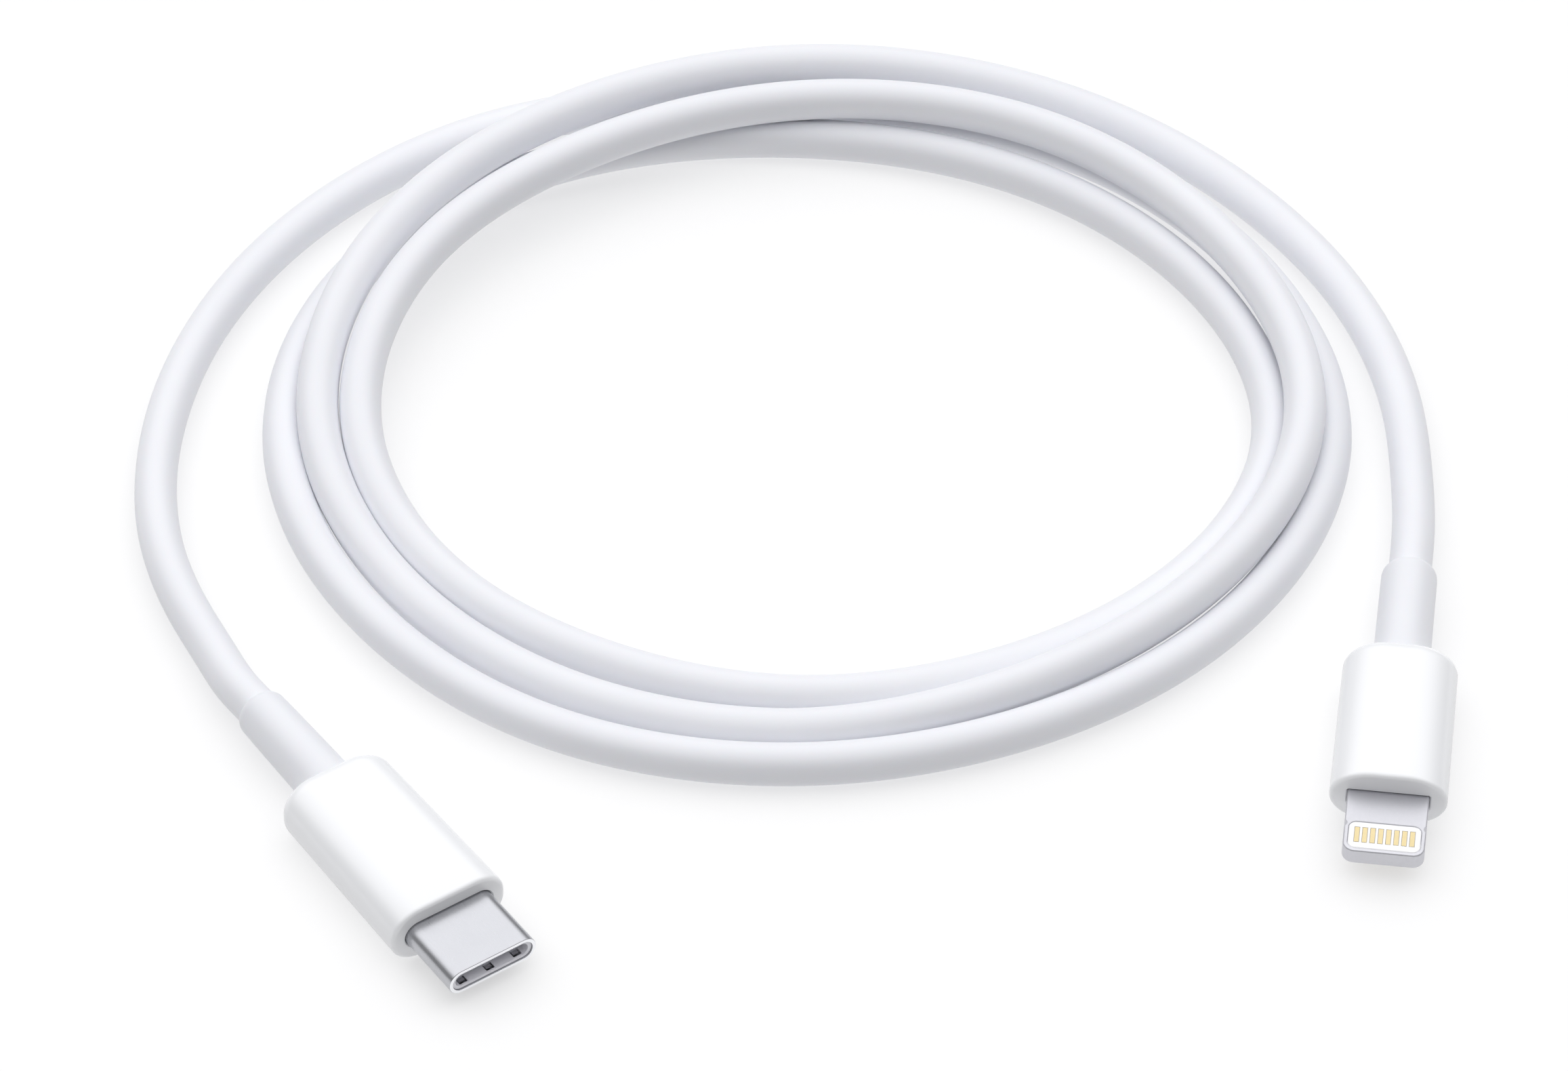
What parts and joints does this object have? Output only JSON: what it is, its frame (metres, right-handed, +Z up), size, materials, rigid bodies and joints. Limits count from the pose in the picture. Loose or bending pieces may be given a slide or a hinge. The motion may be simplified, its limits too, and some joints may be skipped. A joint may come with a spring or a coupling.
{
  "type": "charging cable",
  "caption": "Charging cable with a reversible oval plug, a slim blade plug, hard grips, soft strain reliefs and a loosely coiled round cord.",
  "frame": {"origin": "on the resting surface, under the middle of the box that holds the two plugs", "axes": "+X from the oval plug towards the blade plug, +Y from the plugs towards the coil, +Z up"},
  "size_m": [0.1117, 0.1141, 0.0074],
  "materials": {
    "cord_jacket": "satin moulded elastomer, bluish white",
    "grip_plastic": "glossy white moulded plastic",
    "relief_elastomer": "satin white elastomer",
    "polished_steel": "drawn stainless steel, satin polished",
    "nickel_plate": "nickel plated, satin",
    "spring_steel": "rolled spring steel",
    "gold_plate": "thin gold plating",
    "contact_plastic": "grey heat resistant plastic",
    "insert_plastic": "white moulded plastic",
    "core_plastic": "natural inner mould",
    "board_laminate": "green solder mask",
    "chip_plastic": "black moulded package",
    "wire_red": "red insulation",
    "wire_black": "black insulation",
    "wire_green": "green insulation",
    "wire_white": "white insulation"
  },
  "bodies": {
    "cable": {"blade_boot": "grip_plastic", "blade_circuit_board": "board_laminate", "blade_controller_chip": "chip_plastic", "blade_ground_ring": "nickel_plate", "blade_inner_mould": "core_plastic", "blade_inner_shield": "spring_steel", "blade_insert": "insert_plastic", "blade_pad_lower_1": "gold_plate", "blade_pad_lower_2": "gold_plate", "blade_pad_lower_3": "gold_plate", "blade_pad_lower_4": "gold_plate", "blade_pad_lower_5": "gold_plate", "blade_pad_lower_6": "gold_plate", "blade_pad_lower_7": "gold_plate", "blade_pad_lower_8": "gold_plate", "blade_pad_upper_1": "gold_plate", "blade_pad_upper_2": "gold_plate", "blade_pad_upper_3": "gold_plate", "blade_pad_upper_4": "gold_plate", "blade_pad_upper_5": "gold_plate", "blade_pad_upper_6": "gold_plate", "blade_pad_upper_7": "gold_plate", "blade_pad_upper_8": "gold_plate", "blade_strain_relief": "relief_elastomer", "blade_wire_black": "wire_black", "blade_wire_green": "wire_green", "blade_wire_red": "wire_red", "blade_wire_white": "wire_white", "cord": "cord_jacket", "oval_boot": "grip_plastic", "oval_circuit_board": "board_laminate", "oval_contact_block_lower": "contact_plastic", "oval_contact_block_upper": "contact_plastic", "oval_contact_lower_1": "gold_plate", "oval_contact_lower_2": "gold_plate", "oval_contact_lower_3": "gold_plate", "oval_contact_lower_4": "gold_plate", "oval_contact_lower_5": "gold_plate", "oval_contact_upper_1": "gold_plate", "oval_contact_upper_2": "gold_plate", "oval_contact_upper_3": "gold_plate", "oval_contact_upper_4": "gold_plate", "oval_contact_upper_5": "gold_plate", "oval_contact_upper_6": "gold_plate", "oval_contact_upper_7": "gold_plate", "oval_front_insulator": "contact_plastic", "oval_ground_spring_lower": "spring_steel", "oval_ground_spring_upper": "spring_steel", "oval_inner_mould": "core_plastic", "oval_inner_shield": "spring_steel", "oval_latch_plate": "spring_steel", "oval_shell": "polished_steel", "oval_strain_relief": "relief_elastomer", "oval_wire_black": "wire_black", "oval_wire_green": "wire_green", "oval_wire_red": "wire_red", "oval_wire_white": "wire_white"},
    "latch_left": {"oval_latch_arm_left": "spring_steel"},
    "latch_right": {"oval_latch_arm_right": "spring_steel"}
  },
  "joints": [
    {"name": "latch_left_flex", "type": "hinge", "parent": "cable", "child": "latch_left", "pos_m": [-0.03072, -0.0125, 0.00265], "axis": [0, 0, 1], "range_deg": [0, 1.8], "stiffness_Nm_per_rad": 0.002},
    {"name": "latch_right_flex", "type": "hinge", "parent": "cable", "child": "latch_right", "pos_m": [-0.03641, -0.01649, 0.00265], "axis": [0, 0, -1], "range_deg": [0, 1.8], "stiffness_Nm_per_rad": 0.002}
  ]
}
